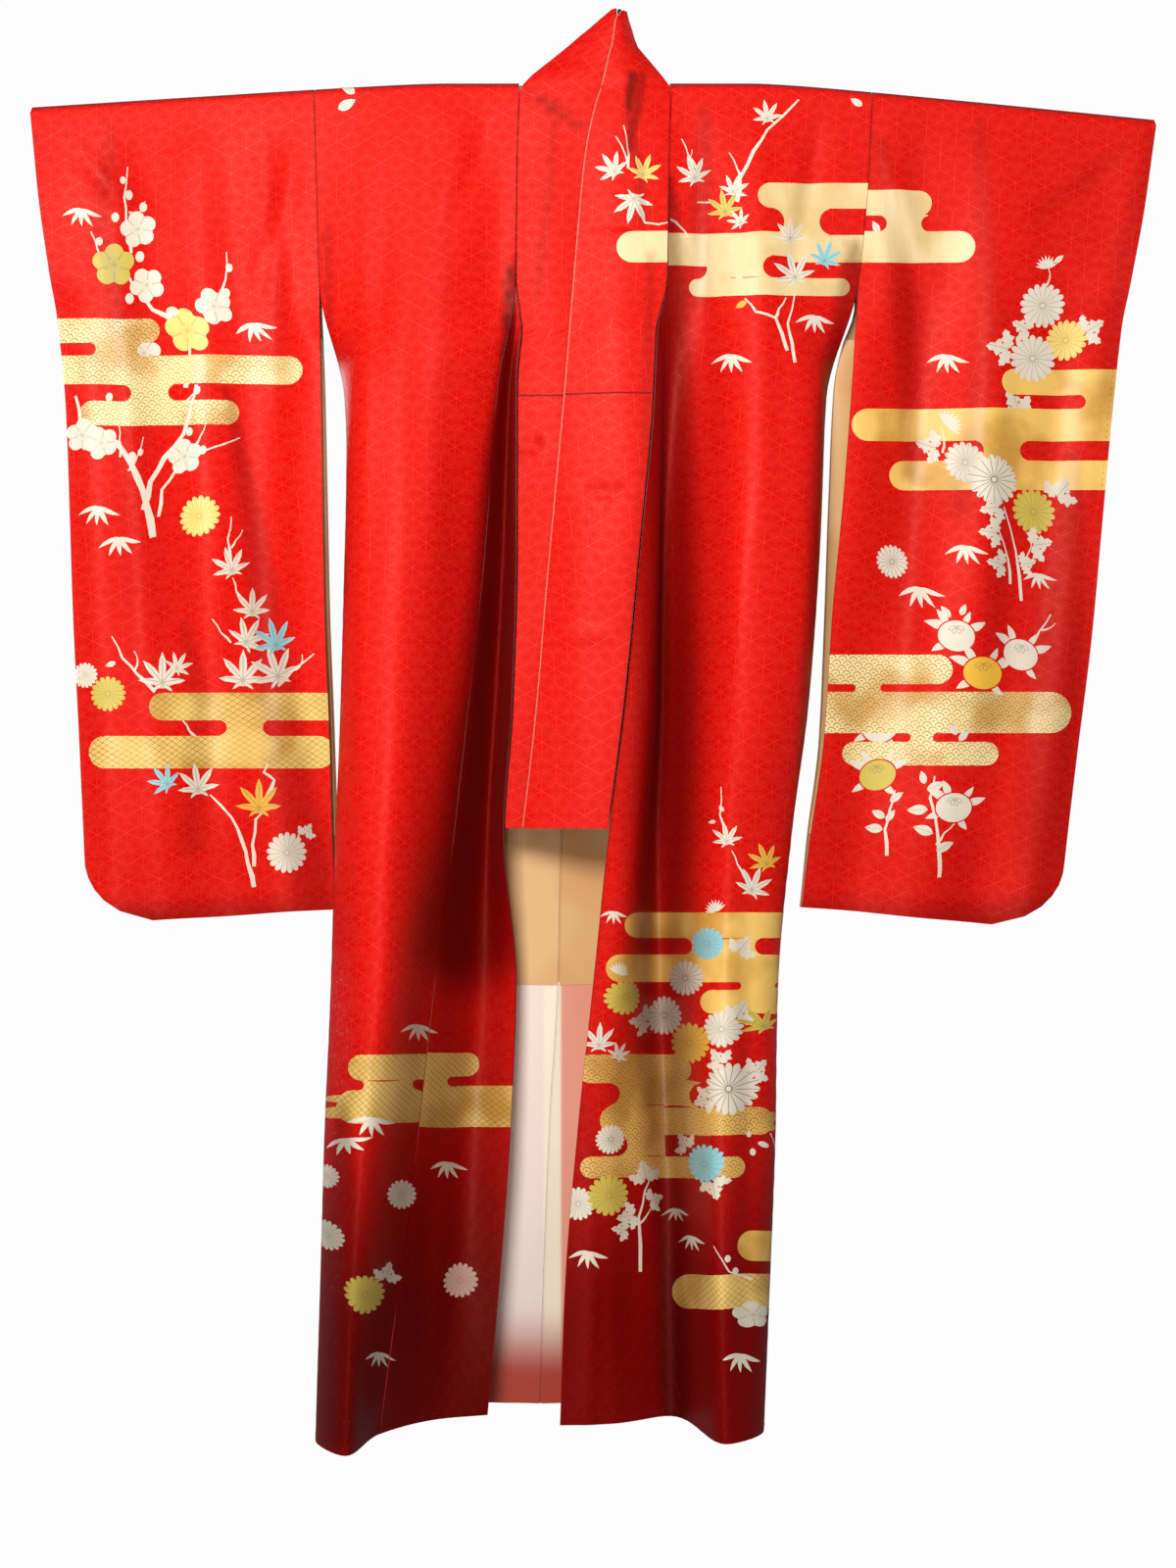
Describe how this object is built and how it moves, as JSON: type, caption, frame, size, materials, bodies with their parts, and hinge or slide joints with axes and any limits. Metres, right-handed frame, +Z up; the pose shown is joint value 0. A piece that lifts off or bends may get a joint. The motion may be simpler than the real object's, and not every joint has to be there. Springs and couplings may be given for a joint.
{
  "type": "furisode on a kimono hanger",
  "caption": "Red silk furisode with gold mist clouds, plum, maple and chrysanthemum, hanging open by its collar hook and a rod through the sleeves.",
  "frame": {"origin": "the point inside the wire hook that bears on a rail", "axes": "+Z up along the hanging garment, -Y towards the viewer of its front, +X towards the wearer's left"},
  "size_m": [1.3052, 0.2143, 1.6351],
  "materials": {
    "red_silk": "soft satin figured with hemp leaves",
    "ochre_lining": "plain smooth silk",
    "pale_lining": "plain smooth silk shaded to orange red at the hem",
    "wood": "satin varnish",
    "dark_steel": "dark wire"
  },
  "bodies": {
    "root": {"body_front_right": "red_silk", "body_back_right": "red_silk", "body_front_left": "red_silk", "body_back_left": "red_silk", "okumi_right": "red_silk", "okumi_left": "red_silk", "sleeve_front_right": "red_silk", "sleeve_back_right": "red_silk", "sleeve_front_left": "red_silk", "sleeve_back_left": "red_silk", "collar_right": "red_silk", "collar_left": "red_silk", "collar_cover_right": "red_silk", "collar_cover_left": "red_silk", "collar_cover_back": "red_silk", "body_lining_right": "ochre_lining", "body_lining_left": "ochre_lining", "sleeve_lining_right": "ochre_lining", "sleeve_lining_left": "ochre_lining", "hem_lining_right": "pale_lining", "hem_lining_left": "pale_lining", "hanger_rod": "wood", "hanger_block": "wood", "hanger_hook": "dark_steel"}
  },
  "joints": []
}
